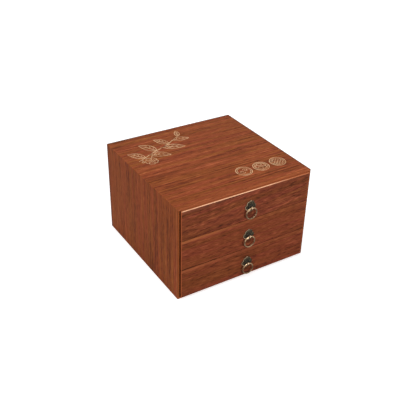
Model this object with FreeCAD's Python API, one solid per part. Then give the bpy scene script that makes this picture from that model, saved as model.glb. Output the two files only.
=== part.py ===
"""Tea bag drawer box: a mitred wooden case with three drawers, each with a ring pull.

Millimetres, +Z up, front towards -Y. The origin is the middle of the case's underside.
Each board that is let into another is cut out of it as a whole solid, so the two always seat.
"""

import FreeCAD, Part
import os

# --- Case ----------------------------------------------------------------------------------------
CASE_WIDTH = 230.0
CASE_DEPTH = 225.0
CASE_HEIGHT = 155.0
CASE_BOARD = 3.0          # top, bottom and sides, mitred to each other
CASE_ROUND = 0.6          # all outer edges of the case
BACK_BOARD = 3.0
BACK_REBATE = 1.5         # how far the back board is let into the four case boards
DIVIDER_BOARD = 3.0
DIVIDER_HOUSING = 1.5     # how far a divider is let into each side

# --- Drawers -------------------------------------------------------------------------------------
DRAWER_COUNT = 3
FRONT_BOARD = 7.0
FRONT_PROUD = 3.0         # the fronts stand this far out of the case
FRONT_ROUND = 0.5         # edges of a front's face
FRONT_GAP = 0.5           # between two fronts, and between a front and the case's top or bottom
SIDE_GAP = 1.7            # between a drawer and each side of the case
RUNNING_GAP = 0.2         # a drawer's lower edges over the board they run on
CLOSED_GAP = 0.3          # a shut drawer off the dividers' edges and the back board
HEADROOM = 5.0            # between a drawer's sides and the board above them
TRAY_BOARD = 4.0          # a drawer's sides and back
TRAY_ROUND = 0.6          # upper edges of a drawer's sides and back
SIDE_LAP = 3.5            # the sides' ends are lapped this deep into the front
BACK_LAP = 2.0            # the back's ends are let this deep into the sides
BOTTOM_BOARD = 3.0
BOTTOM_LIFT = 3.0         # the bottom board above the sides' lower edges
BOTTOM_GROOVE = 2.0       # depth of the grooves that hold the bottom board

# --- Ring pulls ----------------------------------------------------------------------------------
PULL_OFFSET = 4.0         # the pulls stand this far to the right of the middle
PULL_DROP = 2.5           # the eye lies this far below the middle of its front
RING_OUTER = 20.0         # outer diameter
RING_WIRE = 2.1           # diameter of the wire
RING_GAP = 0.35           # round the ring's wire, in the eye of the split pin
PIN_RADIUS = 1.0          # the pin's half-round wire, folded in two, makes a rod of this radius
PIN_SLIT = 0.16           # between the two legs
PIN_HOLE_GAP = 0.2        # round the rod, in the plate and the front
PIN_BEND = 0.4            # inner radius of the legs' bend
PIN_LEG = 6.0             # straight end of each leg, along the inside of the front
PIN_SEAT_GAP = 0.1        # the eye off the plate's boss, and the bent legs off the front
PLATE_THICKNESS = 0.8
PLATE_WIDTH = 18.8
PLATE_TIP = 12.1          # the plate's tip above the eye
PLATE_FOOT = 6.8          # the plate's foot below the eye
PLATE_RIM = 0.9           # width of the raised rim
PLATE_SINK = 0.3          # depth of the field inside the rim
BOSS_RADIUS = 3.2
BOSS_HEIGHT = 0.9         # above the rim

# The plate's outline from its tip down to its foot, on the right: the ends of its four arcs and
# the point that each arc passes through, as shares of half the width and of the tip or foot.
ARC_ENDS = [(0.00, 1.00), (0.26, 0.80), (0.70, 0.38), (0.72, -0.48), (0.00, -1.00)]
ARC_MIDDLES = [(0.09, 0.88), (0.58, 0.70), (1.00, 0.00), (0.46, -0.90)]

# --- Worked out from the sizes above -------------------------------------------------------------
CLEAR_HEIGHT = (CASE_HEIGHT - 2 * CASE_BOARD - (DRAWER_COUNT - 1) * DIVIDER_BOARD) / DRAWER_COUNT
CASE_FRONT_Y = -CASE_DEPTH / 2
CASE_BACK_Y = CASE_DEPTH / 2
BACK_INNER_Y = CASE_BACK_Y - BACK_BOARD
CASE_INNER_X = CASE_WIDTH / 2 - CASE_BOARD

FACE_Y = CASE_FRONT_Y - FRONT_PROUD              # outer faces of the drawer fronts
FRONT_INNER_Y = FACE_Y + FRONT_BOARD
DIVIDER_FRONT_Y = FRONT_INNER_Y + CLOSED_GAP
DRAWER_BACK_Y = BACK_INNER_Y - CLOSED_GAP
DRAWER_X = CASE_INNER_X - SIDE_GAP               # outer faces of the drawers' sides
TRAY_X = DRAWER_X - TRAY_BOARD                   # inner faces of the drawers' sides

RING_RADIUS = (RING_OUTER - RING_WIRE) / 2       # to the middle of the wire
EYE_INNER = RING_WIRE / 2 + RING_GAP
EYE_OUTER = EYE_INNER + PIN_RADIUS
EYE_TO_FACE = EYE_OUTER + PIN_SEAT_GAP + BOSS_HEIGHT + PLATE_THICKNESS
EYE_Y = FACE_Y - EYE_TO_FACE
PIN_HOLE_RADIUS = PIN_RADIUS + PIN_HOLE_GAP

ORIGIN = FreeCAD.Vector(0, 0, 0)
X_AXIS = FreeCAD.Vector(1, 0, 0)
Y_AXIS = FreeCAD.Vector(0, 1, 0)
Z_AXIS = FreeCAD.Vector(0, 0, 1)


# --- Helpers -------------------------------------------------------------------------------------
def board(low, high):
    """A rectangular board between its lowest and highest corner."""
    size = [b - a for a, b in zip(low, high)]
    return Part.makeBox(*size, FreeCAD.Vector(*low))


def prism(points, start_y, end_y):
    """A closed outline of (x, z) points, drawn out along Y."""
    corners = [FreeCAD.Vector(x, start_y, z) for x, z in points]
    outline = Part.makePolygon(corners + corners[:1])
    return Part.Face(outline).extrude(Y_AXIS * (end_y - start_y))


def edges_on(shape, axis, value):
    """The edges that lie in the plane where the coordinate named axis has this value."""
    return [edge for edge in shape.Edges
            if all(abs(getattr(v.Point, axis) - value) < 1e-6 for v in edge.Vertexes)]


# --- Case ----------------------------------------------------------------------------------------
def floor_height(number):
    """The height that a drawer runs on. Drawer 1 is at the top, drawer DRAWER_COUNT at the bottom."""
    return CASE_BOARD + (DRAWER_COUNT - number) * (CLEAR_HEIGHT + DIVIDER_BOARD)


def divider(number):
    """The board that drawer `number` runs on, housed in both sides and stopped behind the fronts."""
    half = CASE_INNER_X + DIVIDER_HOUSING
    top = floor_height(number)
    return board((-half, DIVIDER_FRONT_Y, top - DIVIDER_BOARD), (half, BACK_INNER_Y, top))


def case_back():
    """The back board, in a rebate all round and flush with the back of the case."""
    half = CASE_INNER_X + BACK_REBATE
    margin = CASE_BOARD - BACK_REBATE
    return board((-half, BACK_INNER_Y, margin), (half, CASE_BACK_Y, CASE_HEIGHT - margin))


def case_boards():
    """Top, bottom and sides: four mitred sections of one block with rounded edges."""
    block = board((-CASE_WIDTH / 2, CASE_FRONT_Y, 0), (CASE_WIDTH / 2, CASE_BACK_Y, CASE_HEIGHT))
    block = block.makeFillet(CASE_ROUND, block.Edges)
    outer = [(-CASE_WIDTH / 2, 0), (CASE_WIDTH / 2, 0),
             (CASE_WIDTH / 2, CASE_HEIGHT), (-CASE_WIDTH / 2, CASE_HEIGHT)]
    inner = [(-CASE_INNER_X, CASE_BOARD), (CASE_INNER_X, CASE_BOARD),
             (CASE_INNER_X, CASE_HEIGHT - CASE_BOARD), (-CASE_INNER_X, CASE_HEIGHT - CASE_BOARD)]
    boards = {}
    for i, name in enumerate(("case_bottom", "case_right_side", "case_top", "case_left_side")):
        j = (i + 1) % 4
        section = prism([outer[i], outer[j], inner[j], inner[i]], CASE_FRONT_Y, CASE_BACK_Y)
        boards[name] = section.common(block).cut(case_back())
    for name in ("case_left_side", "case_right_side"):
        for number in range(1, DRAWER_COUNT):
            boards[name] = boards[name].cut(divider(number))
    return boards


# --- Drawers -------------------------------------------------------------------------------------
def front_edges(number):
    """The lower and upper edge of a front. Two fronts meet over the middle of a divider's edge."""
    over_divider = (DIVIDER_BOARD - FRONT_GAP) / 2
    floor = floor_height(number)
    low = floor + FRONT_GAP if number == DRAWER_COUNT else floor - over_divider
    high = floor + CLEAR_HEIGHT - FRONT_GAP if number == 1 else floor + CLEAR_HEIGHT + over_divider
    return low, high


def eye_height(number):
    low, high = front_edges(number)
    return (low + high) / 2 - PULL_DROP


def tray_edges(number):
    """The lower and upper edge of a drawer's sides and back."""
    floor = floor_height(number)
    return floor + RUNNING_GAP, floor + CLEAR_HEIGHT - HEADROOM


def drawer_bottom(number):
    """The bottom board, held in grooves on all four sides."""
    half = TRAY_X + BOTTOM_GROOVE
    low = tray_edges(number)[0] + BOTTOM_LIFT
    back_groove = DRAWER_BACK_Y - TRAY_BOARD + BOTTOM_GROOVE
    return board((-half, FRONT_INNER_Y - BOTTOM_GROOVE, low), (half, back_groove, low + BOTTOM_BOARD))


def side_blank(number, hand):
    """A drawer's side before it is grooved. hand is -1 on the left and 1 on the right."""
    low, high = tray_edges(number)
    left, right = sorted((hand * TRAY_X, hand * DRAWER_X))
    blank = board((left, FRONT_INNER_Y - SIDE_LAP, low), (right, DRAWER_BACK_Y, high))
    upper = [edge for edge in edges_on(blank, "z", high) if edge.Length > TRAY_BOARD + 1e-6]
    return blank.makeFillet(TRAY_ROUND, upper)


def back_blank(number):
    """A drawer's back before it is grooved. Its ends are let into the sides."""
    low, high = tray_edges(number)
    half = TRAY_X + BACK_LAP
    blank = board((-half, DRAWER_BACK_Y - TRAY_BOARD, low), (half, DRAWER_BACK_Y, high))
    upper = [edge for edge in edges_on(blank, "z", high) if edge.Length > TRAY_BOARD + 1e-6]
    return blank.makeFillet(TRAY_ROUND, upper)


def drawer_side(number, hand):
    return side_blank(number, hand).cut(drawer_bottom(number)).cut(back_blank(number))


def drawer_back(number):
    return back_blank(number).cut(drawer_bottom(number))


def drawer_front(number):
    """The front, with laps for the sides, a groove for the bottom and a hole for the split pin."""
    low, high = front_edges(number)
    front = board((-DRAWER_X, FACE_Y, low), (DRAWER_X, FRONT_INNER_Y, high))
    front = front.makeFillet(FRONT_ROUND, edges_on(front, "y", FACE_Y))
    for hand in (-1, 1):
        front = front.cut(side_blank(number, hand))
    eye = FreeCAD.Vector(PULL_OFFSET, FACE_Y, eye_height(number))
    hole = Part.makeCylinder(PIN_HOLE_RADIUS, FRONT_BOARD, eye, Y_AXIS)
    return front.cut(drawer_bottom(number)).cut(hole)


# --- Ring pulls: drawn round the eye at the origin, the face of the front at y = EYE_TO_FACE ------
def plate_outline():
    """The plate's cloud-head outline: an ogee tip over two pairs of lobes."""
    def place(share_x, share_z):
        height = share_z * (PLATE_TIP if share_z > 0 else PLATE_FOOT)
        return FreeCAD.Vector(share_x * PLATE_WIDTH / 2, EYE_TO_FACE, height)

    arcs = []
    for start, middle, end in zip(ARC_ENDS, ARC_MIDDLES, ARC_ENDS[1:]):
        arc = Part.Arc(place(*start), place(*middle), place(*end)).toShape()
        arcs += [arc, arc.mirror(ORIGIN, X_AXIS)]
    return Part.Face(Part.Wire(Part.__sortEdges__(arcs)))


def pull_plate():
    """The plate: a raised rim round a sunk field, with a boss that the split pin goes through."""
    outline = plate_outline()
    rim_y = EYE_TO_FACE - PLATE_THICKNESS
    field_y = rim_y + PLATE_SINK
    plate = outline.extrude(Y_AXIS * -PLATE_THICKNESS)
    field = outline.makeOffset2D(-PLATE_RIM)
    field.translate(Y_AXIS * (field_y - EYE_TO_FACE))
    plate = plate.cut(field.extrude(Y_AXIS * -PLATE_SINK))

    boss_y = rim_y - BOSS_HEIGHT
    boss_top_radius = (BOSS_RADIUS + PIN_HOLE_RADIUS) / 2
    foot, shoulder = FreeCAD.Vector(BOSS_RADIUS, field_y, 0), FreeCAD.Vector(BOSS_RADIUS, rim_y, 0)
    top = FreeCAD.Vector(boss_top_radius, boss_y, 0)
    crown = FreeCAD.Vector(0, boss_y, 0)
    centre = FreeCAD.Vector(0, field_y, 0)
    section = Part.Face(Part.makePolygon([centre, foot, shoulder, top, crown, centre]))
    boss = section.revolve(ORIGIN, Y_AXIS, 360)
    hole = Part.makeCylinder(PIN_HOLE_RADIUS, PLATE_THICKNESS + BOSS_HEIGHT, crown, Y_AXIS)
    return plate.fuse(boss).cut(hole)


def half_round(y, z):
    """The pin wire's section at this y, its flat side down on the height z."""
    left, right = FreeCAD.Vector(-PIN_RADIUS, y, z), FreeCAD.Vector(PIN_RADIUS, y, z)
    crown = FreeCAD.Vector(0, y, z + PIN_RADIUS)
    return Part.Face(Part.Wire([Part.makeLine(left, right), Part.Arc(right, crown, left).toShape()]))


def upper_leg():
    """A leg from the eye through the front, bent up against the front's inner face."""
    bend_y = EYE_TO_FACE + FRONT_BOARD + PIN_SEAT_GAP - PIN_BEND
    bend_centre = FreeCAD.Vector(0, bend_y, PIN_RADIUS + PIN_BEND)
    leg = half_round(EYE_INNER, 0).extrude(Y_AXIS * (bend_y - EYE_INNER))
    bend = half_round(bend_y, 0).revolve(bend_centre, X_AXIS, 90)
    end = half_round(bend_y, 0).rotate(bend_centre, X_AXIS, 90).extrude(Z_AXIS * PIN_LEG)
    return leg.fuse(bend).fuse(end)


def split_pin():
    """The split pin: an eye of half-round wire, whose two legs are spread behind the front."""
    eye = half_round(0, EYE_INNER).revolve(ORIGIN, X_AXIS, 360)
    upper = upper_leg()
    lower = upper.mirror(ORIGIN, Z_AXIS)
    reach = EYE_TO_FACE + FRONT_BOARD + EYE_OUTER
    slit = board((-PIN_RADIUS, 0, -PIN_SLIT / 2), (PIN_RADIUS, reach, PIN_SLIT / 2))
    return eye.fuse(upper).fuse(lower).cut(slit)


def pull_ring():
    """The ring, hanging straight down from the middle of the eye."""
    return Part.makeTorus(RING_RADIUS, RING_WIRE / 2, Z_AXIS * -RING_RADIUS, Y_AXIS)


def hung(shape, number):
    """A pull's piece, moved to the eye of this drawer."""
    return shape.translate(FreeCAD.Vector(PULL_OFFSET, EYE_Y, eye_height(number)))


# --- All pieces, by name -------------------------------------------------------------------------
def drawer_pieces(number):
    return {
        f"drawer_{number}_front": drawer_front(number),
        f"drawer_{number}_left_side": drawer_side(number, -1),
        f"drawer_{number}_right_side": drawer_side(number, 1),
        f"drawer_{number}_back": drawer_back(number),
        f"drawer_{number}_bottom": drawer_bottom(number),
        f"drawer_{number}_pull_plate": hung(pull_plate(), number),
        f"drawer_{number}_split_pin": hung(split_pin(), number),
        f"drawer_{number}_pull_ring": hung(pull_ring(), number),
    }


def all_pieces():
    pieces = case_boards()
    pieces["case_back"] = case_back()
    for number in range(1, DRAWER_COUNT):
        pieces[f"divider_{number}"] = divider(number)
    for number in range(1, DRAWER_COUNT + 1):
        pieces.update(drawer_pieces(number))
    return pieces


os.makedirs("parts", exist_ok=True)
for node, shape in all_pieces().items():
    sound = shape.isValid() and len(shape.Solids) == 1
    print(f"{node:22s} {shape.Volume / 1000:9.3f} cm3  {'ok' if sound else 'CHECK'}")
    shape.Solids[0].exportStep(f"parts/{node}.step")
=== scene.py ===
# %% [markdown]
# # A tea bag box with three drawers
#
# The box is a plain mitred wooden case with three drawers. Each drawer front carries an antique
# brass ring pull, and the top carries a drawing in pale lines. The measured solids of the box are
# loaded first and never change: every finish and every small ornament is put on them. All sizes
# are in metres, the box stands on z = 0 and its drawers face -Y.

# %% Load the measured solids
import cmath
import functools
import math

import bpy
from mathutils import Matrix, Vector


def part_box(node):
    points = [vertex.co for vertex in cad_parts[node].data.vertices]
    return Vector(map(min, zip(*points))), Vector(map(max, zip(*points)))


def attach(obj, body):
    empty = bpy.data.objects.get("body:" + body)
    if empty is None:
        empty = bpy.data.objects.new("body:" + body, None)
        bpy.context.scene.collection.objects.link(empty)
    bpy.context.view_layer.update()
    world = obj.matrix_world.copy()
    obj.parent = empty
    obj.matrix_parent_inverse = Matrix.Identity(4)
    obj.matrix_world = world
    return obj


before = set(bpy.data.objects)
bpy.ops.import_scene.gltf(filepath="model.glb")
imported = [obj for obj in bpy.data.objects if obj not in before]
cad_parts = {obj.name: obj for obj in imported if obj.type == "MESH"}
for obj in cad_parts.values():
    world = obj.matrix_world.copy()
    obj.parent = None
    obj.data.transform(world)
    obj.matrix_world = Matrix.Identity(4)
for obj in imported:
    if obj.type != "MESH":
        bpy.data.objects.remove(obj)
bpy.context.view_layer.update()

MILLIMETRE = 0.001
DRAWERS = (1, 2, 3)


# %% [markdown]
# ## The camera
#
# The box is seen from its front left corner and from above, about a metre away, with a lens a
# little longer than a normal one, so that the far edges draw together only slightly. The camera
# leans by one degree.

# %% Camera
CAMERA_PLACE = (-0.4859, -0.7636, 0.6321)
CAMERA_TURN = (57.726, -1.334, -31.955)  # degrees about X, Y and Z
LENS = 57.4  # mm, on a sensor 36 mm wide


def put_in_scene(name, data):
    """A new object that holds a camera, a lamp, a mesh or a curve."""
    made = bpy.data.objects.new(name, data)
    bpy.context.scene.collection.objects.link(made)
    return made


camera = put_in_scene("camera", bpy.data.cameras.new("camera"))
camera.data.lens = LENS
camera.location = CAMERA_PLACE
camera.rotation_euler = [math.radians(angle) for angle in CAMERA_TURN]
bpy.context.scene.camera = camera
bpy.context.scene.view_settings.view_transform = "Standard"
print("camera:", round(Vector(CAMERA_PLACE).length, 3), "m from the middle of the underside")

# %% [markdown]
# ## Building node trees by hand
#
# Materials and Geometry Nodes are both trees of nodes. This small helper adds a node and feeds its
# inputs in one line: a plain value is set on the input, and another node's output is linked to it.

# %% Node helper
COLOUR_A, COLOUR_B, COLOUR_OUT = 6, 7, 2  # the colour sockets of a Mix node


class Sheet:
    """A node tree that is being drawn. add gives back a node, and most others an output."""

    def __init__(self, tree):
        self.tree = tree

    def add(self, kind, inputs=None, **settings):
        node = self.tree.nodes.new(kind)
        for name, value in settings.items():
            setattr(node, name, value)
        for socket, value in (inputs or {}).items():
            self.feed(node.inputs[socket], value)
        return node

    def out(self, kind, inputs=None, **settings):
        """The same, and gives back the node's first output."""
        return self.add(kind, inputs, **settings).outputs[0]

    def feed(self, socket, value):
        if isinstance(value, bpy.types.NodeSocket):
            self.tree.links.new(value, socket)
        else:
            socket.default_value = value

    def math(self, operation, *values):
        return self.out("ShaderNodeMath", dict(enumerate(values)), operation=operation)

    def run(self, operation, values):
        """Runs an operation through several values in turn."""
        return functools.reduce(lambda total, value: self.math(operation, total, value), values)

    def plus(self, *values):
        return self.run("ADD", values)

    def times(self, *values):
        return self.run("MULTIPLY", values)

    def largest(self, *values):
        return self.run("MAXIMUM", values)

    def less(self, value, amount):
        return self.math("SUBTRACT", value, amount)

    def swing(self, noise, gain):
        """A noise value moved to swing about zero, times a gain."""
        return self.times(self.less(noise, 0.5), gain)

    def vector(self, operation, *values):
        node = self.add("ShaderNodeVectorMath", dict(enumerate(values)), operation=operation)
        return node.outputs["Value" if operation == "LENGTH" else "Vector"]

    def scaled(self, vector, amount):
        return self.add("ShaderNodeVectorMath", {0: vector, "Scale": amount},
                        operation="SCALE").outputs["Vector"]

    def split(self, vector):
        return self.add("ShaderNodeSeparateXYZ", {0: vector}).outputs

    def noise(self, place, repeats=None, detail=2.0, roughness=0.5, output="Fac"):
        """Noise. repeats says how often it changes in a metre along X, Y and Z."""
        if repeats:
            place = self.vector("MULTIPLY", place, repeats)
        return self.add("ShaderNodeTexNoise", {"Vector": place, "Scale": 1.0, "Detail": detail,
                                               "Roughness": roughness}).outputs[output]

    def ramp(self, value, start, end, low=0.0, high=1.0, kind="LINEAR"):
        """low before start, high after end, and an even rise between them."""
        return self.out("ShaderNodeMapRange", {0: value, 1: start, 2: end, 3: low, 4: high},
                        interpolation_type=kind)

    def fade(self, *values):
        """A ramp with soft ends."""
        return self.ramp(*values, kind="SMOOTHSTEP")

    def mix(self, share, first, second):
        return self.add("ShaderNodeMix", {0: share, COLOUR_A: first, COLOUR_B: second},
                        data_type="RGBA").outputs[COLOUR_OUT]

    def bump(self, height, strength, depth):
        return self.out("ShaderNodeBump", {"Strength": strength, "Distance": depth, "Height": height})

    def group(self, name, inputs):
        return self.add("ShaderNodeGroup", inputs, node_tree=bpy.data.node_groups[name]).outputs

    def surface(self, inputs):
        """The last two nodes of a material: its shader and its output."""
        shader = self.out("ShaderNodeBsdfPrincipled", inputs)
        self.add("ShaderNodeOutputMaterial", {"Surface": shader})


def empty_sheet(owner):
    """The emptied node tree of a world or a material."""
    owner.use_nodes = True
    owner.node_tree.nodes.clear()
    return Sheet(owner.node_tree)


def new_material(name):
    """An empty material, its sheet, and the place of a point on the piece."""
    material = bpy.data.materials.new(name)
    sheet = empty_sheet(material)
    return material, sheet, sheet.add("ShaderNodeTexCoord").outputs["Object"]


print("node helper ready")

# %% [markdown]
# ## Groups and colours
#
# A group is a tree with named sockets that other trees can use. Each socket is given here by its
# label and its first value, and the value decides what kind of socket it is. Colours are written
# as on a paint chart, and turned into the linear values that a shader works with.

# %% Groups and colours
ORIGIN = (0.0, 0.0, 0.0)
WHITE = (1.0, 1.0, 1.0, 1.0)


def socket_kind(label, value):
    if value is None:  # geometry and materials have no first value
        return "NodeSocket" + label
    if isinstance(value, tuple):
        return "NodeSocketVector" if len(value) == 3 else "NodeSocketColor"
    return "NodeSocketInt" if isinstance(value, int) else "NodeSocketFloat"


def new_group(name, inputs, outputs, kind="ShaderNodeTree"):
    """An empty node group with its sockets. Gives back its sheet and its inputs."""
    tree = bpy.data.node_groups.new(name, kind)
    for side, sockets in (("INPUT", inputs), ("OUTPUT", outputs)):
        for label, value in sockets.items():
            made = tree.interface.new_socket(name=label, in_out=side,
                                             socket_type=socket_kind(label, value))
            if side == "INPUT" and value is not None:
                made.default_value = value
    sheet = Sheet(tree)
    return sheet, sheet.add("NodeGroupInput").outputs


def paint(red, green, blue):
    def linear(value):
        share = value / 255
        return share / 12.92 if share <= 0.04045 else ((share + 0.055) / 1.055) ** 2.4
    return (linear(red), linear(green), linear(blue), 1.0)


print("groups and colours ready")

# %% [markdown]
# ## Floor, daylight and lamps
#
# The box stands on a plain white floor under soft light. The white ground is seen by the camera
# and by reflections only; the light that reaches the wood is weaker. It comes from a pale sky, a
# wide soft lamp overhead, a smaller one at the left, and one straight in front, which puts the
# shadow of each ring on the wood behind it. The floor glows faintly for the camera, so that it
# reads as white, and still takes the shadow of the box. Far from the box it glows more, and meets
# the white ground without a line.

# %% World and floor
SKY_LIGHT = 0.32
FLOOR_HALF = 6.0  # metres
FLOOR_WHITE = paint(242, 242, 242)
FLOOR_GLOW_NEAR, FLOOR_GLOW_FAR, FLOOR_IN_REFLECTIONS = 0.55, 0.82, 0.08
GLOW_GROWS_FROM, GLOW_GROWS_TO = 0.6, 2.4  # metres from the middle of the box

world = bpy.data.worlds.new("white studio")
bpy.context.scene.world = world
sky = empty_sheet(world)
rays = sky.add("ShaderNodeLightPath").outputs
seen = sky.largest(rays["Is Camera Ray"], rays["Is Glossy Ray"], rays["Is Transmission Ray"])
strength = sky.ramp(seen, 0.0, 1.0, SKY_LIGHT, 1.0)
glow = sky.out("ShaderNodeBackground", {"Color": WHITE, "Strength": strength})
sky.add("ShaderNodeOutputWorld", {"Surface": glow})

floor_material, ground, place = new_material("white floor")
rays = ground.add("ShaderNodeLightPath").outputs
reflected = ground.largest(rays["Is Glossy Ray"], rays["Is Transmission Ray"])
glow_seen = ground.fade(ground.vector("LENGTH", place), GLOW_GROWS_FROM, GLOW_GROWS_TO,
                        FLOOR_GLOW_NEAR, FLOOR_GLOW_FAR)
floor_glow = ground.plus(ground.times(rays["Is Camera Ray"], glow_seen),
                         ground.times(reflected, FLOOR_IN_REFLECTIONS))
ground.surface({"Base Color": FLOOR_WHITE, "Roughness": 0.9, "Specular IOR Level": 0.1,
                "Emission Color": WHITE, "Emission Strength": floor_glow})

floor_mesh = bpy.data.meshes.new("floor")
floor_mesh.from_pydata([(x * FLOOR_HALF, y * FLOOR_HALF, 0)
                        for x, y in ((-1, -1), (1, -1), (1, 1), (-1, 1))], [], [(0, 1, 2, 3)])
floor_mesh.materials.append(floor_material)
floor = put_in_scene("floor", floor_mesh)
print("sky light:", SKY_LIGHT)

# %% Lamps
BOX_MIDDLE = Vector((0, 0, 0.08))
LAMPS = (("overhead_lamp", (-0.45, 0.2, 2.6), 2.2, 34.0),  # name, place, width, watts
         ("left_lamp", (-1.6, 0.0, 0.7), 0.8, 4.0),
         ("front_lamp", (0.1, -1.75, 0.6), 0.2, 17.5))
for name, place, width, power in LAMPS:
    lamp = put_in_scene(name, bpy.data.lights.new(name, "AREA"))
    lamp.data.size = width
    lamp.data.energy = power
    lamp.location = place
    lamp.rotation_euler = (BOX_MIDDLE - Vector(place)).to_track_quat("-Z", "Y").to_euler()
    lamp.visible_camera = False
print(len(LAMPS), "lamps made")

# %% [markdown]
# ## Wood grain
#
# The box is faced in a reddish stained hardwood. Its figure is made of growth rings, which cut the
# face of a board in lines or in arches, long soft bands and clouds where the stain took more or
# less, fine fibres and short flecks, streaks where it turned redder or browner, and the pores, thin
# dark scratches that all run one way. The pattern is solid, so it turns the corner of each board
# as real wood does: long lines on the faces, and dots on the ends. Rings are measured from a pith,
# the middle of the tree.

# %% Wood grain group
# how often each noise changes in a metre: along the grain, and both ways across it
REPEATS = {"drift": (5, 13, 13), "band": (4, 90, 90), "cloud": (8, 34, 34), "stain": (7, 150, 150),
           "fibre": (13, 330, 330), "fleck": (95, 660, 660), "pore": (75, 2100, 2100)}
PORE_START, PORE_FULL = 0.60, 0.72  # how much of the noise is pores
PORE_BLACK = (0.004, 0.002, 0.001, 1.0)
BROWNER, REDDER = (0.93, 1.04, 0.84, 1.0), (1.07, 0.96, 1.13, 1.0)
TONE_GAIN = 2.2  # noise keeps near its middle, so it is spread out
SEED_STEP = (1.7, 2.3, 3.1)  # a board's seed moves its grain this way

wood, given = new_group("wood grain", {
    "Vector": ORIGIN, "Seed": 0.0, "Pith": ORIGIN, "Ring Pitch": 0.005, "Drift": 0.005,
    **dict.fromkeys(("Rings", "Bands", "Clouds", "Fibres", "Flecks", "Pores"), 0.5),
    **dict.fromkeys(("Dark", "Middle", "Light"), WHITE)}, {"Color": WHITE, "Height": 0.0})
start = wood.vector("ADD", given["Vector"], wood.scaled(SEED_STEP, given["Seed"]))
drift = wood.noise(start, REPEATS["drift"], output="Color")
drift = wood.scaled(wood.vector("SUBTRACT", drift, (0.5, 0.5, 0.5)), given["Drift"])
wavy = wood.vector("ADD", start, drift)

from_pith = wood.vector("SUBTRACT", wood.vector("ADD", given["Vector"], drift), given["Pith"])
radius = wood.vector("LENGTH", wood.vector("MULTIPLY", from_pith, (0, 1, 1)))
turns = wood.math("DIVIDE", radius, given["Ring Pitch"])
through_ring = wood.math("FRACT", turns)
darkness = wood.add("ShaderNodeTexWhiteNoise", {"W": wood.math("FLOOR", turns)},
                    noise_dimensions="1D").outputs["Value"]
late_wood = wood.times(wood.fade(through_ring, 0.3, 0.9), wood.fade(through_ring, 1.0, 0.93),
                       wood.math("POWER", darkness, 2.0))

band = wood.noise(wavy, REPEATS["band"])
cloud = wood.noise(wavy, REPEATS["cloud"], detail=1)
fibre = wood.noise(wavy, REPEATS["fibre"], detail=4, roughness=0.65)
fleck = wood.noise(wavy, REPEATS["fleck"])
pore = wood.fade(wood.noise(wavy, REPEATS["pore"], detail=1), PORE_START, PORE_FULL)
pore = wood.times(pore, wood.fade(cloud, 0.25, 0.6, 0.4, 1.0), given["Pores"])

shades = [wood.times(given[amount], wood.swing(noise, TONE_GAIN)) for amount, noise in
          (("Bands", band), ("Clouds", cloud), ("Fibres", fibre), ("Flecks", fleck))]
tone = wood.less(wood.plus(0.5, *shades), wood.times(given["Rings"], late_wood))
colour = wood.mix(wood.fade(tone, 0.0, 0.5), given["Dark"], given["Middle"])
colour = wood.mix(wood.fade(tone, 0.5, 1.0), colour, given["Light"])
redness = wood.fade(wood.noise(wavy, REPEATS["stain"], detail=3), 0.3, 0.7)
colour = wood.vector("MULTIPLY", colour, wood.mix(redness, BROWNER, REDDER))
colour = wood.mix(pore, colour, wood.mix(0.55, given["Dark"], PORE_BLACK))
height = wood.less(wood.times(fibre, 0.35), pore)
wood.add("NodeGroupOutput", {"Color": colour, "Height": height})
print("wood grain group:", len(wood.tree.nodes), "nodes")

# %% [markdown]
# ## Rubbed edges
#
# Hands rub the stain off the edges of a box first. The mask finds how near a point is to an edge
# of its own board: it measures the distance to each pair of the board's faces, and on the surface
# the two smallest add up to the distance to the nearest edge. A little noise breaks the line up.

# %% Edge wear group
EDGE_WIDTH, THINNEST_EDGE = 0.7 * MILLIMETRE, 0.05 * MILLIMETRE
RAGGEDNESS = 1.2  # how much the noise widens and narrows the rubbed line

wear, given = new_group("edge wear", {
    "Vector": ORIGIN, "Low": ORIGIN, "High": (1, 1, 1), "Width": EDGE_WIDTH}, {"Mask": 0.0})
from_faces = [wear.vector("ABSOLUTE", wear.vector("SUBTRACT", given[a], given[b]))
              for a, b in (("Vector", "Low"), ("High", "Vector"))]
reach = wear.split(wear.vector("MINIMUM", *from_faces))
to_edge = wear.less(wear.plus(*reach), wear.largest(*reach))
ragged = wear.swing(wear.noise(given["Vector"], (110, 110, 110), detail=3), RAGGEDNESS)
width = wear.largest(wear.times(given["Width"], wear.plus(1.0, ragged)), THINNEST_EDGE)
wear.add("NodeGroupOutput", {"Mask": wear.fade(wear.math("DIVIDE", to_edge, width), 1.0, 0.15)})
print("edge wear group:", len(wear.tree.nodes), "nodes")

# %% [markdown]
# ## Finishes laid over the grain
#
# Shade is painted dark into the gaps and along some edges, light is painted onto some edges and
# faces, and hands rub the stain off where they pass. Each such finish is a small group: it takes a
# place and a colour, and lays another colour over it in its own region.
# Most regions follow an edge of the box, so they are written as soft steps: an axis, the edge it
# is measured from, and the two distances past that edge where the finish is gone and where it is
# full. One group is placed in several materials, each time with its own measures.

# %% Finish groups
OUT_OF_REACH = 1.0  # a place, in metres, that no edge of the box reaches


def soft_steps(sheet, given, steps):
    """The product of soft steps. Distances are in millimetres, an edge is a number in metres or
    the name of an input, and |X| takes the left and right ends at once."""
    split = sheet.split(given["Vector"])
    masks = []
    for axis, edge, gone, full, *shares in steps:
        along = split[axis.strip("|")]
        if axis == "|X|":
            along = sheet.math("ABSOLUTE", along)
        past = sheet.less(along, given[edge] if isinstance(edge, str) else edge)
        masks.append(sheet.fade(past, gone * MILLIMETRE, full * MILLIMETRE, *shares))
    return sheet.times(*masks)


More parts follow.
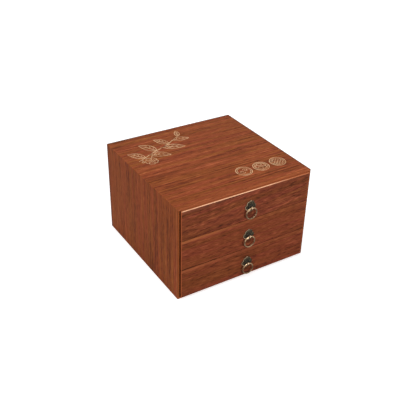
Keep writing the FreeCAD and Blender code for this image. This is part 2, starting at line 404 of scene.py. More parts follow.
def finish_group(name, stain, strength, *ways, rule=None, measures=()):
    """A group that lays a colour over a colour: a stain, a painted light or a painted shade. A way is a
    list of soft steps that all have to hold, and the strongest way counts. A rule may thin the finish,
    and needs its own measures."""
    edges = [step[1] for steps in ways for step in steps if isinstance(step[1], str)]
    sheet, given = new_group(name, {
        "Vector": ORIGIN, "Color": WHITE, "Stain": stain, "Strength": strength,
        **dict.fromkeys([*edges, *measures], OUT_OF_REACH)}, {"Color": WHITE})
    masks = [soft_steps(sheet, given, steps) for steps in ways]
    if masks:
        masks = [sheet.largest(*masks)]
    if rule:
        masks.append(rule(sheet, given))
    share = sheet.times(*masks, given["Strength"])
    sheet.add("NodeGroupOutput", {"Color": sheet.mix(share, given["Color"], given["Stain"])})


print("ready to build finishes")

# %% [markdown]
# ## Dark streaks and painted shade in the gaps
#
# Some boards carry a few thin dark lines that run the whole length of the grain. Noise gives them
# only by luck, so they are placed one by one. In the gaps round the drawers shade is painted nearly
# black: on the ends of a drawer just inside the case, and on an upper edge just behind the outer
# face. It fades out towards the inside, so that an open drawer shows no hard band.

# %% Streaks and gaps
top_low, top_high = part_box("case_top")
side_low, side_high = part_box("case_left_side")
front_low, front_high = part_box("drawer_1_front")
CASE_FRONT, CASE_BACK, CASE_HALF = side_low.y, side_high.y, top_high.x
FRONT_FACE, FRONT_HALF = front_low.y, front_high.x
STREAK_WANDER = 8 * MILLIMETRE


def streak(sheet, given):
    """A thin line along X that wanders a little and is broken along its length."""
    split = sheet.split(given["Vector"])
    across = sheet.plus(split["Y"], sheet.times(given["Upright"], sheet.less(split["Z"], split["Y"])))
    path = sheet.vector("ADD", sheet.vector("MULTIPLY", given["Vector"], (9, 0, 0)),
                        sheet.scaled((1, 1, 0), given["Seed"]))
    middle = sheet.plus(given["Place"], sheet.swing(sheet.noise(path), STREAK_WANDER))
    aside = sheet.math("ABSOLUTE", sheet.less(across, middle))
    breaks = sheet.fade(sheet.noise(given["Vector"], (26, 140, 140), detail=3), 0.36, 0.58, 0.25, 1.0)
    return sheet.times(sheet.fade(aside, given["Half Width"], 0.0), breaks)


def streaks(lines, upright=0.0):
    """One dark streak for each line: its place and half width in millimetres, strength and seed.
    upright is 1 on a board that stands."""
    return [("dark streak", {"Upright": upright, "Place": place * MILLIMETRE,
                             "Half Width": half * MILLIMETRE, "Strength": strength, "Seed": seed})
            for place, half, strength, seed in lines]


finish_group("dark streak", paint(84, 38, 22), 0.5, rule=streak,
             measures=("Upright", "Place", "Half Width", "Seed"))
# Painted shade: the gaps round the drawers, nearly black.
finish_group("painted gap shade", paint(16, 8, 5), 1.0,
             [("|X|", FRONT_HALF, -0.5, -0.2),
              ("Y", CASE_FRONT, -0.9, -0.4), ("Y", CASE_FRONT, 11, 2.8)],
             [("Z", "Upper Edge", -0.4, -0.1),
              ("Y", FRONT_FACE, 0.2, 0.6), ("Y", FRONT_FACE, 2.6, 1.4)])
print("dark streak and painted gap shade ready")

# %% [markdown]
# ## Stained boards
#
# One function dresses a board. The grain runs along X, Y or Z, so the mapping turns that axis to
# X. Each board has its own seed, as if sawn from another plank. The stain is dull, with hardly any
# shine, and the bump follows the pores.

# %% Board material
GRAIN_TURN = {"x": (0, 0, 0), "y": (0, 0, -90), "z": (0, 90, 0)}
PORE_DEPTH = 0.12 * MILLIMETRE
PORE_FLOOR, BOARD_FACE = -0.8, 0.3  # values of the grain's height
DULLER_PORES = 0.2  # added to the roughness down in the pores


def dress(node, material):
    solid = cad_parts[node]
    solid.data.materials.clear()
    solid.data.materials.append(material)


def stained_board(node, grain, seed, tones, figure, rub=0.2, tilt=(0, 0, 0), roughness=0.46,
                  finishes=()):
    """Dresses one board. tones are its dark, middle and light stain and the colour of a rubbed
    edge; figure holds values for the wood grain group; tilt turns the grain a few degrees; a
    finish is the name of a finish group, or a pair of its name and its measures."""
    material, sheet, place = new_material(f"stained wood {node}")
    low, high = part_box(node)
    turn = [math.radians(a + b) for a, b in zip(GRAIN_TURN[grain], tilt)]
    along = sheet.out("ShaderNodeMapping", {
        "Vector": sheet.vector("SUBTRACT", place, (low + high) / 2), "Rotation": turn})
    dark, middle, light, bare = tones
    look = sheet.group("wood grain", {"Vector": along, "Seed": seed, "Dark": dark, "Middle": middle,
                                      "Light": light, **figure})
    edge = sheet.group("edge wear", {"Vector": place, "Low": low, "High": high})["Mask"]
    colour = sheet.mix(sheet.times(edge, rub), look["Color"], bare)
    for finish in finishes:
        group, measures = (finish, {}) if isinstance(finish, str) else finish
        colour = sheet.group(group, {"Vector": place, "Color": colour, **measures})["Color"]
    rough = sheet.ramp(look["Height"], PORE_FLOOR, BOARD_FACE, roughness + DULLER_PORES, roughness)
    sheet.surface({"Base Color": colour, "Roughness": rough, "IOR": 1.45, "Specular IOR Level": 0.03,
                   "Normal": sheet.bump(look["Height"], 0.5, PORE_DEPTH)})
    dress(node, material)


CASE_TONES = (paint(92, 42, 23), paint(146, 75, 42), paint(188, 106, 64), paint(182, 104, 62))
straight = {"Pith": (0, 0.34, -0.12), "Ring Pitch": 0.0052, "Drift": 0.004, "Rings": 0.30,
            "Bands": 0.25, "Clouds": 0.2, "Fibres": 0.65, "Flecks": 0.5, "Pores": 0.6}
for node, grain, seed in (("case_bottom", "x", 5.4), ("case_back", "z", 11.5),
                          ("divider_1", "x", 12.8), ("divider_2", "x", 14.6)):
    stained_board(node, grain, seed, CASE_TONES, straight)
print("inner boards dressed")

# %% [markdown]
# ## The case's top
#
# The top has three thin streaks and a wide soft one. Along the back and right edges the stain ran
# together and dried nearly black, and the front edge is painted as light as the face, over the shade
# that it takes.

# %% The case's top
TOP_STREAKS = ((33, 1.6, 0.55, 2.0), (18, 1.4, 0.5, 5.0), (-20, 8.0, 0.28, 8.0), (-62, 2.0, 0.3, 11.0))

finish_group("dark far edges", paint(58, 24, 14), 0.85,
             [("Y", CASE_BACK, -2.6, -0.8)], [("X", CASE_HALF, -2.2, -0.6)])
# Painted light: the front edge of the top is painted as light as the top face, over its shade.
finish_group("front edge painted light", paint(140, 76, 47), 0.85, [("Y", CASE_FRONT, 0.7, 0.1)])
stained_board("case_top", "x", 3.1, CASE_TONES, straight,
              finishes=streaks(TOP_STREAKS) + ["front edge painted light", "dark far edges"])
print("top dressed with", len(TOP_STREAKS), "streaks")

# %% [markdown]
# ## Case sides
#
# A side is a little darker at its back. Its front edge stands beside the drawers, where hands
# pass: the outer corner is rubbed light and carries a painted highlight on the side face, the stain
# stays dark in the outer part of the narrow front edge, and the arris next to the drawers is rubbed
# down to orange.

# %% The case's sides
SIDE_TONES = (paint(88, 38, 18), paint(142, 70, 34), paint(176, 93, 49), paint(182, 100, 56))

# On the side face near the front: a rubbed band that is also a painted highlight.
finish_group("rubbed corner and painted highlight", paint(186, 104, 60), 0.55,
             [("|X|", CASE_HALF, -0.3, -0.1), ("Y", CASE_FRONT, 3.2, 1.2)])
finish_group("dark front edge", paint(84, 40, 20), 0.9,
             [("|X|", CASE_HALF, -1.9, -1.2), ("Y", CASE_FRONT, 0.3, 0.1)])
finish_group("orange arris", paint(150, 82, 44), 0.9,
             [("|X|", CASE_HALF, -1.2, -1.9), ("Y", CASE_FRONT, 0.3, 0.1)])
finish_group("darker back", paint(78, 36, 16), 0.5, [("Y", CASE_BACK, -10, -1)])
for node, seed in (("case_left_side", 7.7), ("case_right_side", 9.2)):
    stained_board(node, "z", seed, SIDE_TONES, straight,
                  finishes=["rubbed corner and painted highlight", "dark front edge", "orange arris", "darker back"])
print("sides dressed")

# %% [markdown]
# ## Drawer fronts
#
# The three fronts are a shade darker than the case. The upper one is sawn nearer to the middle of
# the tree, so its rings open into arches. Its upper edge stands proud of the case: its narrow upper
# face is painted light over a rub, and its arris carries a pale painted glint, broken, most of all
# towards the left. The other two have no glint. Below the upper edge of each front lies a soft
# orange band of painted light over a light rub, and the lower two carry painted shade along their
# lower edges. The proud part of each end is rubbed and carries painted light. Behind each ring, at
# the foot of the plate, the shadow of the ring is painted on the wood as a soft dark mark.

# %% Finishes of the fronts
def broken_line(sheet, given):
    return sheet.fade(sheet.noise(given["Vector"], (70, 300, 300), detail=3), 0.25, 0.6, 0.7, 1.0)


def near_ring(sheet, given):
    """Fades with the distance from the middle of the painted shadow, a little faster up and down."""
    split = sheet.split(given["Vector"])
    aside = sheet.less(split["X"], given["Across"])
    upright = sheet.times(sheet.less(split["Z"], given["Height"]), 1.3)
    away = sheet.out("ShaderNodeCombineXYZ", {"X": aside, "Z": upright})
    return sheet.fade(sheet.vector("LENGTH", away), 9.2 * MILLIMETRE, 4.5 * MILLIMETRE)


# Painted shadow: the shadow of each ring, a soft dark mark on the wood below its plate.
finish_group("painted ring shadow", paint(38, 22, 12), 0.6, [("Y", FRONT_FACE, 0.4, 0.1)],
             rule=near_ring, measures=("Across", "Height"))
# Painted light over a light rub: a soft band below the upper edge of a front.
finish_group("rubbed and painted light band", paint(160, 94, 55), 0.35,
             [("Z", "Upper Edge", -6.2, -2.6), ("Z", "Upper Edge", 0, -1.2, 0.5, 1.0),
              ("X", 0, 20, -100, 0.3, 1.0)])
# Painted shade along the lower arris of a front.
finish_group("painted shade on lower arris", paint(50, 24, 14), 0.3,
             [("Z", "Lower Edge", 1.1, 0.4), ("X", 0, 0, -90, 0.3, 1.0)])
# Painted light over a rub on the proud part of a front's ends.
finish_group("rubbed end with painted light", paint(176, 92, 54), 0.75,
             [("|X|", FRONT_HALF, -0.7, -0.2), ("Y", CASE_FRONT, 0.1, -0.5)])
# Painted light, over a rub, on the narrow upper face of the proud top front.
finish_group("rubbed and painted light upper face", paint(186, 102, 60), 0.85, [("Z", "Upper Edge", -0.7, -0.2)])
# A painted glint along the upper arris of the top front, strongest at the left.
finish_group("painted glint on upper arris", paint(248, 194, 154), 1.0,
             [("Z", "Upper Edge", -0.7, -0.2), ("Y", FRONT_FACE, 1.6, 1.1),
              ("X", -FRONT_HALF, 0.5, 3, 0.2, 1.0), ("X", 0, 85, 35, 0.12, 1.0)], rule=broken_line)
print("finishes of the fronts ready")

# %% Drawer fronts
FRONT_TONES = (paint(67, 31, 20), paint(109, 54, 33), paint(140, 76, 48), paint(146, 80, 46))
CALM_TONES = (paint(75, 34, 20), paint(111, 54, 32), paint(136, 71, 45), paint(146, 80, 46))
even = {**straight, "Bands": 0.12, "Clouds": 0.08, "Fibres": 0.5, "Flecks": 0.8, "Rings": 0.15}
arched = {**even, "Pith": (0, 0.05, 0.004), "Ring Pitch": 0.0042, "Drift": 0.008, "Rings": 0.3,
          "Clouds": 0.2}
FRONT_1_STREAKS = ((107, 2.2, 0.4, 3.0), (128, 1.6, 0.3, 7.0))
# In CALM_FRONTS the light band is painted light over a rub, and the dark arris is painted shade.
CALM_FRONTS = ((2, 24.9, 0.55, 0.8), (3, 28.2, 0.35, 0.3))  # number, seed, light band, dark arris
PLATE_TIP, PLATE_FOOT, PLATE_HALF = 12.1, 6.8, 9.4  # mm from the eye that the ring hangs in
# The middle of each ring's painted shadow lies this far below the eye.
SHADOW_DROP = 7.5  # mm from the eye down to the ring's mark

eyes, ring_shadows = {}, {}
for number in DRAWERS:
    low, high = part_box(f"drawer_{number}_pull_plate")
    eye = Vector(((low.x + high.x) / 2, FRONT_FACE, low.z + PLATE_FOOT * MILLIMETRE))
    eyes[number] = eye
    ring_shadows[number] = ("painted ring shadow", {"Across": eye.x, "Height": eye.z - SHADOW_DROP * MILLIMETRE})

upper_edge = {"Upper Edge": front_high.z}
stained_board("drawer_1_front", "x", 21.3, FRONT_TONES, arched, tilt=(0, 4, 0), finishes=[
    *streaks(FRONT_1_STREAKS, upright=1.0), ring_shadows[1],
    ("rubbed and painted light band", {**upper_edge, "Stain": paint(120, 69, 55)}), "rubbed end with painted light",
    ("rubbed and painted light upper face", upper_edge), ("painted glint on upper arris", upper_edge), "painted gap shade"])
for number, seed, band, arris in CALM_FRONTS:
    node = f"drawer_{number}_front"
    low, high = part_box(node)
    upper_edge = {"Upper Edge": high.z}
    stained_board(node, "x", seed, CALM_TONES, even, finishes=[
        ring_shadows[number], ("rubbed and painted light band", {**upper_edge, "Strength": band}),
        ("painted shade on lower arris", {"Lower Edge": low.z, "Strength": arris}), "rubbed end with painted light",
        ("painted gap shade", upper_edge)])
print("drawer fronts dressed")

# %% [markdown]
# ## Drawer trays
#
# The boards inside the drawers are thinly stained, as such boxes leave them: the same wood, paler
# and duller, with the grain running the long way of each board. The painted black shade of the gaps
# runs a few millimetres back along the sides.

# %% Trays
TRAY_TONES = (paint(112, 60, 38), paint(160, 92, 60), paint(188, 118, 82), paint(198, 138, 100))
for number in DRAWERS:
    for part, grain in (("left_side", "y"), ("right_side", "y"), ("back", "x"), ("bottom", "x")):
        seed = 30 + number * 2.3 + len(part)  # another one for each board
        # The tray sides carry the painted shade of the gaps near their fronts.
        stained_board(f"drawer_{number}_{part}", grain, seed, TRAY_TONES, straight, rub=0.3,
                      roughness=0.6, finishes=["painted gap shade"] if "side" in part else [])
print("trays dressed")

# %% [markdown]
# ## Antique brass
#
# The plates and rings are brass that was darkened on purpose and then rubbed, so a dark olive
# skin stays in the hollows and bare metal shows on what stands out. The group takes a mask of
# what stands out, breaks it up with noise, and mixes the two skins. A second mask lays painted
# shade, nearly black, round a boss.

# %% Patina group
COARSE, FINE = (420, 420, 420), (2600, 2600, 2600)  # repeats in a metre
# The second colour is the near black of the painted shade round a boss.
OLIVE, BOSS_SHADE_BLACK, SPECKS = paint(80, 74, 48), paint(22, 17, 10), paint(40, 34, 22)

patina, given = new_group("brass patina", {
    "Vector": ORIGIN, "Raised": 0.5, "Grime": 0.0, "Bare": paint(200, 170, 138),
    "Skin": paint(46, 37, 20)}, {"Color": WHITE, "Roughness": 0.5, "Metallic": 0.0, "Height": 0.0})
coarse = patina.noise(given["Vector"], COARSE, detail=4)
fine = patina.noise(given["Vector"], FINE)
bare = patina.fade(patina.plus(given["Raised"], patina.swing(coarse, 0.9)), 0.35, 0.75)
skin = patina.mix(patina.fade(coarse, 0.5, 0.7), given["Skin"], OLIVE)
colour = patina.mix(bare, skin, given["Bare"])
colour = patina.mix(given["Grime"], colour, BOSS_SHADE_BLACK)
colour = patina.mix(patina.fade(fine, 0.55, 0.75, 0.0, 0.4), colour, SPECKS)
patina.add("NodeGroupOutput", {
    "Color": colour, "Roughness": patina.fade(bare, 0.0, 1.0, 0.62, 0.36),
    "Metallic": patina.fade(bare, 0.0, 1.0, 0.55, 1.0),
    "Height": patina.plus(coarse, patina.times(fine, 0.3))})
print("patina group:", len(patina.tree.nodes), "nodes")

# %% [markdown]
# ## Where the brass is rubbed, and its painted light and shade
#
# On a plate the rim is rubbed bare. That it is barest at the left and the tip, and less so at the
# right, is a painted highlight. The field and the boss, which no finger reaches, stay dark, and
# shade is painted nearly black round the boss. A ring is rubbed barest at its top, in the eye of the
# pin, where this also paints in a highlight, then at its foot, where a finger lifts it.

# %% Wear, painted light and painted shade of plates and rings
RIM_HEIGHT, FIELD_HEIGHT = 0.8 * MILLIMETRE, 0.5 * MILLIMETRE  # above the wood
HAIR = 0.05 * MILLIMETRE
# The rim is less bare at the right, so its bareness at the left and the tip is also a painted
# highlight.
RIM_RUB, RIGHT_RUB_UNLIT = 0.66, 0.55  # how bare the rim is, and what is left of that at the right
# The barer top of a ring is also a painted highlight there.
RING_SIDE_RUB, RING_TOP_RUB_AND_HIGHLIGHT, RING_FOOT_RUB = 0.42, 0.66, 0.1
# Painted shade round the boss: where it starts and where it is full.
BOSS_SHADE_REACH, BOSS_SHADE_FULL = 6.2 * MILLIMETRE, 3.5 * MILLIMETRE  # from the eye

plate, given = new_group("plate wear and painted light", {"Vector": ORIGIN, "Eye": ORIGIN},
                         {"Raised": 0.0, "Grime": 0.0})
from_eye = plate.vector("SUBTRACT", given["Vector"], given["Eye"])
split = plate.split(from_eye)
above = plate.times(split["Y"], -1.0)
rim = plate.times(plate.fade(above, FIELD_HEIGHT + HAIR, RIM_HEIGHT, 0.0, RIM_RUB),
                  plate.fade(above, RIM_HEIGHT + 6 * HAIR, RIM_HEIGHT + HAIR),
                  plate.fade(split["X"], -0.001, 0.005, 1.0, RIGHT_RUB_UNLIT))
away = plate.vector("LENGTH", plate.vector("MULTIPLY", from_eye, (1, 0, 1)))
# painted shade, nearly black, round the boss
boss_shade = plate.fade(away, BOSS_SHADE_REACH, BOSS_SHADE_FULL, 0.0, 0.8)
plate.add("NodeGroupOutput", {"Raised": rim, "Grime": boss_shade})

ring, given = new_group("ring wear and highlight", {"Vector": ORIGIN, "Middle Height": 0.0}, {"Raised": 0.0})
height = ring.less(ring.split(given["Vector"])["Z"], given["Middle Height"])
# barest at the top, which is also a painted highlight
rubbed = ring.plus(ring.fade(height, 0.001, 0.008, RING_SIDE_RUB, RING_TOP_RUB_AND_HIGHLIGHT),
                   ring.fade(height, -0.003, -0.008, 0.0, RING_FOOT_RUB))
ring.add("NodeGroupOutput", {"Raised": rubbed})
print("wear groups ready")

# %% Brass materials
PATINA_DEPTH = 0.08 * MILLIMETRE
RING_SKIN, RING_BARE = paint(92, 68, 44), paint(180, 150, 116)


def brass(name, wear=None, measures=None, **skin):
    """Antique brass. wear is the group that says where it is rubbed and where light and shade are
    painted, with its measures.
    """
    material, sheet, place = new_material(f"antique brass, {name}")
    masks = {"Raised": 0.8}
    if wear:
        masks = {mask.name: mask for mask in sheet.group(wear, {"Vector": place, **measures})}
    look = sheet.group("brass patina", {"Vector": place, **masks, **skin})
    sheet.surface({"Base Color": look["Color"], "Roughness": look["Roughness"],
                   "Metallic": look["Metallic"],
                   "Normal": sheet.bump(look["Height"], 0.4, PATINA_DEPTH)})
    return material


pin_brass = brass("pin")
plate_brass = {}
for number in DRAWERS:
    plate_brass[number] = brass(f"plate {number}", "plate wear and painted light", {"Eye": eyes[number]})
    low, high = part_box(f"drawer_{number}_pull_ring")
    ring_brass = brass(f"ring {number}", "ring wear and highlight", {"Middle Height": (low.z + high.z) / 2},
                       Skin=RING_SKIN, Bare=RING_BARE)
    dress(f"drawer_{number}_pull_plate", plate_brass[number])
    dress(f"drawer_{number}_split_pin", pin_brass)
    dress(f"drawer_{number}_pull_ring", ring_brass)
print("brass dressed")

# %% [markdown]
# ## Curves that Geometry Nodes turn into pieces
#
# The drawing on the top and the relief on the plates are both made of strokes. A stroke is a list
# of points with a width. All strokes of one piece become the splines of one curve, and a Geometry
# Nodes tree gives them their body. Each finished piece is turned into a plain mesh, so that nothing
# is left to work out later.

# %% Stroke helpers
def stroke_curve(name, strokes):
    """A curve object with one spline for each stroke: (points, width in metres, closed)."""
    curve = bpy.data.curves.new(name, "CURVE")
    curve.dimensions = "3D"
    for points, width, closed in strokes:
        spline = curve.splines.new("POLY")
        spline.points.add(len(points) - 1)
        for point, place in zip(spline.points, points):
            point.co = (*place, 1.0)
            point.radius = width
        spline.use_cyclic_u = closed
    return put_in_scene(name, curve)


def plain_mesh(source, tree, inputs):
    """Runs a Geometry Nodes tree on an object and gives the result as a plain mesh object."""
    modifier = source.modifiers.new("nodes", "NODES")
    modifier.node_group = tree
    for socket in tree.interface.items_tree:
        if socket.name in inputs:
            modifier[socket.identifier] = inputs[socket.name]
    bpy.context.view_layer.update()
    seen = source.evaluated_get(bpy.context.evaluated_depsgraph_get())
    mesh = bpy.data.meshes.new_from_object(seen)
    name = source.name
    bpy.data.objects.remove(source)
    mesh.name = name
    return put_in_scene(name, mesh)


print("stroke helpers ready")

# %% [markdown]
# ## The steps that the trees share
#
# Strokes are resampled at an even step, so that their faces are all of a size. A tapered stroke
# draws thin at its open ends, as a brush does. Each tree ends in the same two nodes: one makes real
# geometry of whatever was repeated, and one sets the material.

# %% Shared steps
def new_tree(name, inputs):
    return new_group(name, {"Geometry": None, **inputs, "Material": None}, {"Geometry": None},
                     "GeometryNodeTree")


def even_steps(sheet, given):
    return sheet.out("GeometryNodeResampleCurve", {"Curve": given["Geometry"], "Length": given["Step"]},
                     mode="LENGTH")


def thin_ends(sheet, given, reach):
    """A stroke's share of its width, which falls to the end width over a reach at either end."""
    along = sheet.out("GeometryNodeSplineParameter")
    from_end = sheet.less(0.5, sheet.math("ABSOLUTE", sheet.less(along, 0.5)))
    return sheet.ramp(from_end, 0.0, reach, given["End Width"], 1.0)


def sweep(sheet, path, section, taper):
    """Sweeps a section along a path. A stroke's width is kept in its radius."""
    width = sheet.times(sheet.out("GeometryNodeInputRadius"), taper)
    return sheet.out("GeometryNodeCurveToMesh", {"Curve": path, "Profile Curve": section,
                                                 "Scale": width, "Fill Caps": True})


def end_tree(sheet, given, made):
    whole = sheet.out("GeometryNodeRealizeInstances", {0: made})
    dressed = sheet.out("GeometryNodeSetMaterial", {"Geometry": whole, "Material": given["Material"]})
    sheet.add("NodeGroupOutput", {"Geometry": dressed})


print("shared steps ready")

# %% [markdown]
# ## Inlaid lines
#
# The lines of the drawing are thin and flat, with their upper faces a hair above the board. The
# tree holds each stroke's normal upright so that a bend never twists it, thins its ends unless it
# is closed, and sweeps a flat bar along it.

# %% The tree for flat lines
flat, given = new_tree("flat lines", {"Step": 0.0006, "Thickness": 0.2, "End Width": 0.35})
upright = flat.out("GeometryNodeSetCurveNormal", {0: even_steps(flat, given)}, mode="Z_UP")
closed = flat.out("GeometryNodeInputSplineCyclic")
taper = flat.out("GeometryNodeSwitch", {"Switch": closed, "False": thin_ends(flat, given, 0.22),
                                        "True": 1.0}, input_type="FLOAT")
bar = flat.out("GeometryNodeCurvePrimitiveQuadrilateral", {"Width": 1.0, "Height": given["Thickness"]})
half_down = flat.out("ShaderNodeCombineXYZ", {"Y": flat.times(given["Thickness"], 0.5)})
bar = flat.out("GeometryNodeTransform", {"Geometry": bar, "Translation": half_down})
end_tree(flat, given, sweep(flat, upright, bar, taper))
print("flat lines tree:", len(flat.tree.nodes), "nodes")

# %% [markdown]
# ## The drawing on the top
#
# The top carries a light drawing: a twig of the tea plant at the back left, and three small
# roundels in a row at the front right, with a scroll of cloud, a blossom and a lattice. All of
# these are motifs of long tradition. The parts of the twig follow rules, so each is written once:
# a leaf is an outline that comes to a point, a midrib and pairs of veins, all bent along one arc.

# %% Points on the top
TOP_Z = top_high.z + 0.04 * MILLIMETRE
STEM_LINE, MAIN_LINE, SCROLL_LINE, PETAL_LINE, FINE_LINE = 1.2075, 1.05, 0.8925, 0.84, 0.6  # mm


def stroke(points, width, closed=False):
    """A stroke on the top, from sizes in millimetres, measured from its middle."""
    return [(x * MILLIMETRE, y * MILLIMETRE, TOP_Z) for x, y in points], width * MILLIMETRE, closed


def bent_axis(root, heading, bend=0, length=1):
    """Gives the function that turns (along, aside) into a point beside an arc; angles in degrees."""
    turn, start = math.radians(bend), math.radians(heading)

    def place(along, aside):
        angle = start + turn * along / length
        if bend == 0:
            x, y = along * math.cos(start), along * math.sin(start)
        else:
            x = length / turn * (math.sin(angle) - math.sin(start))
            y = length / turn * (math.cos(start) - math.cos(angle))
        return (root[0] + x - aside * math.sin(angle), root[1] + y + aside * math.cos(angle))
    return place


def on_circle(middle, radius, angle):
    return (middle[0] + radius * math.cos(math.radians(angle)),
            middle[1] + radius * math.sin(math.radians(angle)))


def circle(middle, radius, width, count=48):
    return stroke([on_circle(middle, radius, 360 / count * k) for k in range(count)], width, True)


print("points on the top ready")

# %% Leaves, blossoms and scrolls
EDGE_STEPS, RIB_STEPS = 14, 8
VEINS, FIRST_VEIN, VEIN_SPREAD, VEIN_REACH = 3, 0.18, 0.60, 0.14  # shares of the leaf's length
VEIN_MIDDLE, VEIN_END = 0.42, 0.76  # shares of half its width
SCROLL_EYE, SCROLL_TURN, SCROLL_STEPS = 0.4, 504, 33
PETALS = 5
PETAL = ((0.22, 0.05), (0.5, 0.36), (0.82, 0.46), (1.0, 0.25), (0.94, 0.0),
         (1.0, -0.25), (0.82, -0.46), (0.5, -0.36), (0.22, -0.05))  # shares of the blossom's radius


def leaf(root, heading, length, width, bend):
    place = bent_axis(root, heading, bend, length)

    def half_width(share):
        return width / 2 * math.sin(math.pi * share ** 0.85) ** 0.9

    shares = [k / EDGE_STEPS for k in range(EDGE_STEPS + 1)]
    rise = [place(length * share, half_width(share)) for share in shares]
    fall = [place(length * share, -half_width(share)) for share in shares[-2:0:-1]]
    strokes = [stroke(rise + fall, MAIN_LINE, True),
               stroke([place(length * k / RIB_STEPS, 0) for k in range(-1, RIB_STEPS)], MAIN_LINE)]
    for k in range(VEINS):
        foot = FIRST_VEIN + VEIN_SPREAD * k / VEINS
        tip = foot + VEIN_REACH
        for side in (1, -1):
            vein = [place(length * foot, 0),
                    place(length * (foot + VEIN_REACH / 2), side * half_width(foot) * VEIN_MIDDLE),
                    place(length * tip, side * half_width(tip) * VEIN_END)]
            strokes.append(stroke(vein, FINE_LINE))
    return strokes


def blossom(middle, radius, turn):
    strokes = []
    for k in range(PETALS):
        place = bent_axis(middle, turn + 360 / PETALS * k)
        strokes += [stroke([place(a * radius, b * radius) for a, b in PETAL], PETAL_LINE),
                    stroke([place(0.3 * radius, 0), place(0.62 * radius, 0)], FINE_LINE)]
    return strokes + [circle(middle, radius * 0.14, FINE_LINE, count=10)]


def spiral(middle, first_radius, last_radius, start, turn, steps):
    """Points that open from a middle while they turn by some degrees."""
    return [on_circle(middle, first_radius + (last_radius - first_radius) * k / steps,
                      start + turn * k / steps) for k in range(steps + 1)]


def scroll(middle, start, last_radius):
    points = spiral(middle, SCROLL_EYE, last_radius, start, SCROLL_TURN, SCROLL_STEPS)
    return stroke(points, SCROLL_LINE)


print("leaf, blossom and scroll ready")

# %% The twig
STEM = [(-98, 34), (-84, 40), (-68, 49), (-50, 56), (-32, 64), (-16, 74), (-4, 82)]
# root, heading, length, width, bend
LEAVES = [((-84, 40), 118, 30, 13.5, 24), ((-73, 46), -14, 33, 14, -26), ((-58, 53), 108, 33, 15, 26),
          ((-44, 58), -10, 36, 15, -22), ((-30, 65), 112, 27, 12.5, 24), ((-17, 73), 0, 27, 12, -24),
          ((-4, 82), 62, 19, 8.5, 18)]
BUDS = (((-90, 37), (-93, 29)), ((-38, 61), (-34, 53)))  # the two ends of a bud's stalk
twig = [stroke(STEM, STEM_LINE)]
for measures in LEAVES:
    twig += leaf(*measures)
twig += [stroke([(-68, 49), (-70, 43), (-76, 36)], MAIN_LINE), *blossom((-80, 27), 10.0, turn=250)]
for root, tip in BUDS:
    twig += [stroke([root, tip], PETAL_LINE), circle(tip, 2.0, PETAL_LINE, count=6)]
print("twig:", len(twig), "strokes")

# %% The three roundels
OUTER_RADIUS, INNER_RADIUS = 12.5, 10.1
CLOUD, FLOWER, LATTICE = (24, -68), (55, -68), (86, -68)
LATTICE_REACH, LATTICE_PITCH = 9.4, 3.8
roundels = []
for middle in (CLOUD, FLOWER, LATTICE):
    roundels += [circle(middle, OUTER_RADIUS, MAIN_LINE), circle(middle, INNER_RADIUS, FINE_LINE)]
roundels += blossom(FLOWER, 8.4, turn=90)
x, y = CLOUD
roundels += [scroll((x - 3.2, y - 1.4), 200, 4.6), scroll((x + 3.6, y + 2.2), 20, 4.2)]
for k in range(-2, 3):
    aside = k * LATTICE_PITCH
    reach = math.sqrt(LATTICE_REACH ** 2 - aside ** 2)
    for lean in (45, -45):
        place = bent_axis(LATTICE, lean)
        roundels.append(stroke([place(-reach, aside), place(reach, aside)], FINE_LINE))
print("roundels:", len(roundels), "strokes")

# %% [markdown]
# ## Pale line material
#
# Where the drawing is cut through the stain, the pale wood below shows. The cut is deeper in some
# places than in others, and fibres cross it.

# %% Pale lines
pale_lines, sheet, place = new_material("pale cut lines")
patches = sheet.noise(place, (60, 90, 90), detail=3)
fibres = sheet.noise(place, (90, 1500, 1500))
colour = sheet.mix(sheet.fade(patches, 0.35, 0.6), paint(204, 152, 108), paint(238, 200, 154))
colour = sheet.mix(sheet.fade(fibres, 0.5, 0.75, 0.0, 0.5), colour, paint(150, 88, 54))
sheet.surface({"Base Color": colour, "Roughness": 0.65, "Specular IOR Level": 0.1,
               "Normal": sheet.bump(fibres, 0.3, 0.05 * MILLIMETRE)})
print("pale line material:", len(pale_lines.node_tree.nodes), "nodes")

# %% Drawing made
drawing = plain_mesh(stroke_curve("top_drawing", twig + roundels), flat.tree,
                     {"Step": 0.0007, "Thickness": 0.2, "End Width": 0.4, "Material": pale_lines})
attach(drawing, "case")
print("drawing:", len(drawing.data.polygons), "faces")

# %% [markdown]
# ## Relief on the plates
#
# Each plate has a row of beads inside its rim, a small scroll at each side of the boss and three
# leaves above it. A tree sets one bead at each even step of the plate's own outline, drawn a little
# smaller. The scrolls and leaves are round wire with thin ends.

# %% The trees for beads and wire
beads, given = new_tree("beads on a path", {"Step": 0.0007, "Bead Radius": 0.00025})
places = beads.out("GeometryNodeCurveToPoints", {"Curve": given["Geometry"], "Length": given["Step"]},
                   mode="LENGTH")
bead = beads.out("GeometryNodeMeshIcoSphere", {"Radius": given["Bead Radius"], "Subdivisions": 2})
end_tree(beads, given, beads.out("GeometryNodeInstanceOnPoints", {"Points": places, "Instance": bead}))

wire, given = new_tree("wire with thin ends", {"Step": 0.0002, "Sides": 6, "End Width": 0.3})
section = wire.out("GeometryNodeCurvePrimitiveCircle", {"Resolution": given["Sides"], "Radius": 0.5})
end_tree(wire, given, sweep(wire, even_steps(wire, given), section, thin_ends(wire, given, 0.2)))
print("trees for beads and wire ready")

# %% The plate's outline
ARC_ENDS = [(0.00, 1.00), (0.26, 0.80), (0.70, 0.38), (0.72, -0.48), (0.00, -1.00)]
ARC_MIDDLES = [(0.09, 0.88), (0.58, 0.70), (1.00, 0.00), (0.46, -0.90)]
ARC_STEPS = 12
BEAD_ROW = 0.84  # the row is the plate's outline at this share of its size


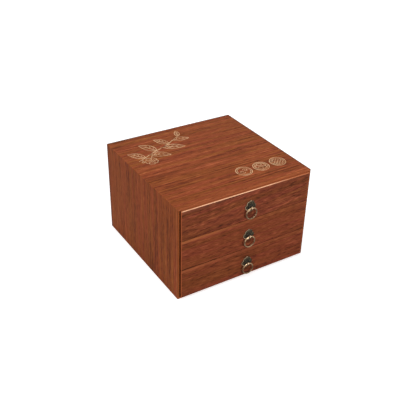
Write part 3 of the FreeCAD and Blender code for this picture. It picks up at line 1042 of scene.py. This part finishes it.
def arc_points(*through):
    """Points on the arc through three points, without the last."""
    start, middle, end = (complex(*point) for point in through)
    ratio = (end - start) / (middle - start)
    centre = start + (middle - start) * (ratio - abs(ratio) ** 2) / (2j * ratio.imag)
    first, via, last = (point - centre for point in (start, middle, end))
    turn = cmath.phase(via / first) + cmath.phase(last / via)
    places = [centre + first * cmath.rect(1, turn * k / ARC_STEPS) for k in range(ARC_STEPS)]
    return [(place.real, place.imag) for place in places]


def on_plate(share):
    return (share[0] * PLATE_HALF, share[1] * (PLATE_TIP if share[1] > 0 else PLATE_FOOT))


right_half = [point for arc in zip(ARC_ENDS, ARC_MIDDLES, ARC_ENDS[1:])
              for point in arc_points(*map(on_plate, arc))]
outline = right_half + [(-x, z) for x, z in [on_plate(ARC_ENDS[-1])] + right_half[:0:-1]]
bead_row = [(x * BEAD_ROW, z * BEAD_ROW) for x, z in outline]
print("bead row:", len(bead_row), "points")

# %% Scrolls and leaves of the plate
CURL_X, CURL_Z, CURL_EYE, CURL_RIM = 5.6, 0.2, 0.25, 1.79  # mm
CURL_TURN, CURL_STEPS = 364, 14
LEAF_ROOT, LEAF_HALF = (0, 4.1), 0.62
LEAF_EDGE = ((0, 0), (0.3, 0.8), (0.62, 0.9), (1, 0), (0.62, -0.9), (0.3, -0.8), (0, 0))


def curl(side, start):
    return spiral((side * CURL_X, CURL_Z), CURL_EYE, CURL_RIM, start, -side * CURL_TURN, CURL_STEPS)


def small_leaf(lean, length=3.1):
    place = bent_axis(LEAF_ROOT, 90 + lean)
    return [place(a * length, b * LEAF_HALF) for a, b in LEAF_EDGE]


ornaments = [curl(1, 160), curl(-1, 20), small_leaf(0, 4.0), small_leaf(48), small_leaf(-48)]
print(len(ornaments), "ornaments")

# %% Relief made
WIRE_THICKNESS = 0.42 * MILLIMETRE
BEAD_PATH = 1 * MILLIMETRE  # beads ignore the width of their path


def on_field(shape, eye):
    """Points in millimetres from the eye, as places on the sunk field of a plate."""
    return [(eye.x + x * MILLIMETRE, eye.y - FIELD_HEIGHT, eye.z + z * MILLIMETRE) for x, z in shape]


for number in DRAWERS:
    eye, finish = eyes[number], {"Material": plate_brass[number]}
    path = [(on_field(bead_row, eye), BEAD_PATH, True)]
    row = plain_mesh(stroke_curve(f"drawer_{number}_plate_beads", path), beads.tree,
                     {"Step": 0.00068, "Bead Radius": 0.00024, **finish})
    wires = [(on_field(shape, eye), WIRE_THICKNESS, False) for shape in ornaments]
    relief = plain_mesh(stroke_curve(f"drawer_{number}_plate_relief", wires), wire.tree,
                        {"Step": 0.00022, "Sides": 8, "End Width": 0.35, **finish})
    for piece in (row, relief):
        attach(piece, f"drawer_{number}")
print("relief:", len(row.data.polygons), "faces of beads and", len(relief.data.polygons), "of wire")
